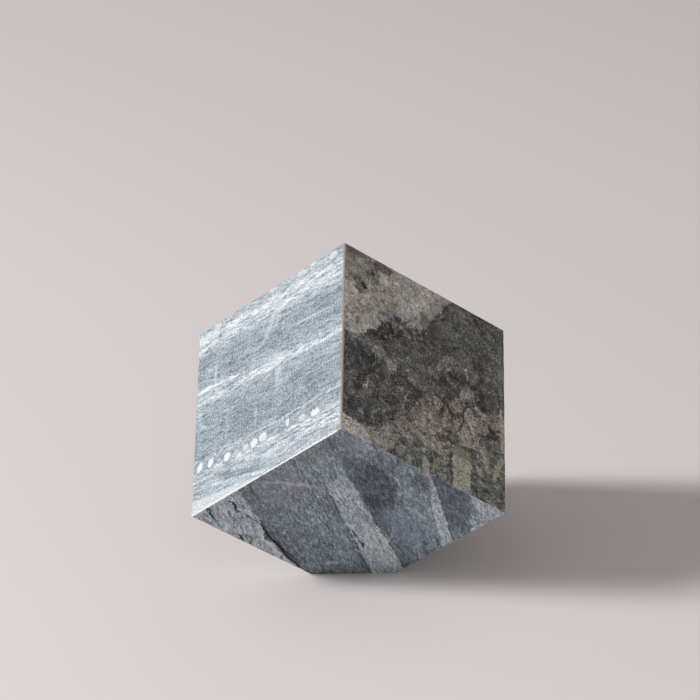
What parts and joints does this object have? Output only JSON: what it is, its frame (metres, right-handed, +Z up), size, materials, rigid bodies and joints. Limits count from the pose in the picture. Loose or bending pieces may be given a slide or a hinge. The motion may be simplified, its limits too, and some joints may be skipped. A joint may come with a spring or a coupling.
{
  "type": "marble block",
  "caption": "Sawn cube of banded blue-grey marble with eased edges, standing on a corner that is cut off flat so that its body diagonal is upright.",
  "frame": {"origin": "middle of the small triangle at the bottom, cut off one corner, that the block rests on", "axes": "+Z up the cube's body diagonal, through the opposite corner; -Y towards the front upper corner, between the two front faces; +X to the right of someone facing it"},
  "size_m": [0.1682, 0.1942, 0.187],
  "materials": {
    "marble": "sawn and honed, satin, with white bands on one side and dark breccia on another"
  },
  "bodies": {
    "root": {"marble_block": "marble"}
  },
  "joints": []
}
